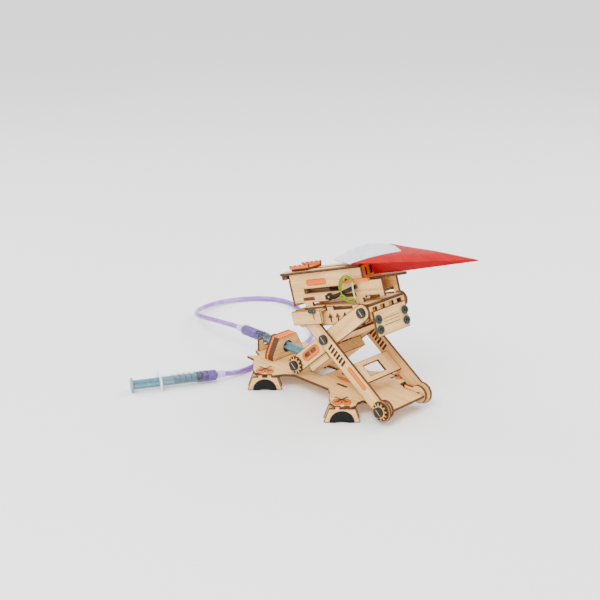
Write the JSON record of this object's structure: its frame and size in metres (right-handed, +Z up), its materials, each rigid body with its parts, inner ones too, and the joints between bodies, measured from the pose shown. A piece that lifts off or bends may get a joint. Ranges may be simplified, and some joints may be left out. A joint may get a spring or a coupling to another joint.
{
  "type": "hydraulic paper plane launcher kit",
  "caption": "Plywood scissor-lift launcher on feet, raised by a pair of linked liquid-filled syringes, with a tilting deck, shuttle, trigger, runway and folded paper plane.",
  "frame": {"origin": "on the table, under the middle of the whole object's box, the hand syringe included and the loose tube left out", "axes": "+Z up, +X the way the plane is launched, +Y to the launcher's left"},
  "size_m": [0.4826, 0.3263, 0.1936],
  "materials": {
    "plywood": "satin, laser cut with dark edges",
    "pivot_metal": "dark bronze, satin",
    "pad_rubber": "matt",
    "ring_rubber": "satin",
    "green_elastic": "satin",
    "clear_barrel": "clear, glossy",
    "purple_liquid": "clear coloured liquid",
    "filled_tube": "clear tube full of purple liquid",
    "teal_plastic": "moulded, satin",
    "red_paper": "folded coated paper"
  },
  "bodies": {
    "base": {"base_plate": "plywood", "foot_front_left": "plywood", "foot_front_right": "plywood", "foot_rear_left": "plywood", "foot_rear_right": "plywood", "foot_pads": "pad_rubber", "clamp_boards": "plywood", "clamp_middle": "plywood", "barrel_cradle": "plywood", "ram_barrel": "clear_barrel", "ram_fluid": "purple_liquid", "hand_barrel": "clear_barrel", "hand_fluid": "purple_liquid", "fluid_tube": "filled_tube", "pivot_bracket_left": "plywood", "pivot_bracket_right": "plywood", "base_bolts": "pivot_metal"},
    "long_arms": {"long_arm_left": "plywood", "long_arm_right": "plywood", "window_board": "plywood", "slide_pins": "pivot_metal", "base_gears": "plywood", "cross_bolts": "pivot_metal"},
    "short_arms": {"short_arm_left": "plywood", "short_arm_right": "plywood", "short_arm_web": "plywood", "cross_box": "plywood", "slide_shaft": "pivot_metal", "shaft_gears": "plywood", "push_roller": "plywood"},
    "platform": {"deck_plate": "plywood", "side_plate_left": "plywood", "side_plate_right": "plywood", "end_board": "plywood", "name_board": "plywood", "board_rings": "ring_rubber", "slide_cover_left": "plywood", "slide_cover_right": "plywood", "platform_bolts": "pivot_metal", "launcher_side_left": "plywood", "launcher_side_right": "plywood", "launcher_lid": "plywood", "lid_rear_block": "plywood", "launcher_back": "plywood", "launcher_floor": "plywood", "runway": "plywood", "front_frame": "plywood", "elastic_post": "plywood", "elastic_band": "green_elastic"},
    "shuttle": {"shuttle_block": "plywood", "shuttle_grips": "plywood"},
    "trigger": {"trigger_lever": "plywood"},
    "plane": {"paper_plane": "red_paper"},
    "ram_rod": {"ram_plunger": "teal_plastic", "ram_piston": "pad_rubber"},
    "hand_rod": {"hand_plunger": "teal_plastic", "hand_piston": "pad_rubber"}
  },
  "joints": [
    {"name": "arm_lift", "type": "hinge", "parent": "base", "child": "long_arms", "pos_m": [0.0848, 0.0488, 0.0166], "axis": [0, 1, 0], "range_deg": [-13, 4]},
    {"name": "cross_pivot", "type": "hinge", "parent": "long_arms", "child": "short_arms", "pos_m": [0.00286, 0.0488, 0.07323], "axis": [0, 1, 0], "range_deg": [-11.01, 35.55]},
    {"name": "platform_tilt", "type": "hinge", "parent": "short_arms", "child": "platform", "pos_m": [0.0529, 0.0488, 0.116], "axis": [0, 1, 0], "range_deg": [-9.21, 2.9]},
    {"name": "ram_slide", "type": "slide", "parent": "base", "child": "ram_rod", "axis": [1, 0, 0], "range_m": [-0.0256, 0.008], "deforming": ["ram_fluid"]},
    {"name": "hand_push", "type": "slide", "parent": "base", "child": "hand_rod", "axis": [0.4617, 0.887, 0], "range_m": [-0.0256, 0.008], "deforming": ["hand_fluid"]},
    {"name": "shuttle_slide", "type": "slide", "parent": "platform", "child": "shuttle", "axis": [0.9511, 0, 0.309], "range_m": [0, 0.042]},
    {"name": "trigger_pull", "type": "hinge", "parent": "platform", "child": "trigger", "pos_m": [-0.00577, 0.0318, 0.11534], "axis": [0, 1, 0], "range_deg": [0, 8], "stiffness_Nm_per_rad": 0.02, "springref_deg": -17.19, "deforming": ["elastic_band"]},
    {"name": "plane_launch", "type": "slide", "parent": "platform", "child": "plane", "axis": [0.9511, 0, 0.309], "range_m": [0, 0.15]}
  ],
  "couplings": [
    {"joint": "cross_pivot", "follows": "arm_lift", "ratio": -2.727},
    {"joint": "platform_tilt", "follows": "arm_lift", "ratio": 0.701},
    {"joint": "ram_slide", "follows": "arm_lift", "m_per_rad": 0.1121},
    {"joint": "hand_push", "follows": "arm_lift", "m_per_rad": 0.1121}
  ]
}
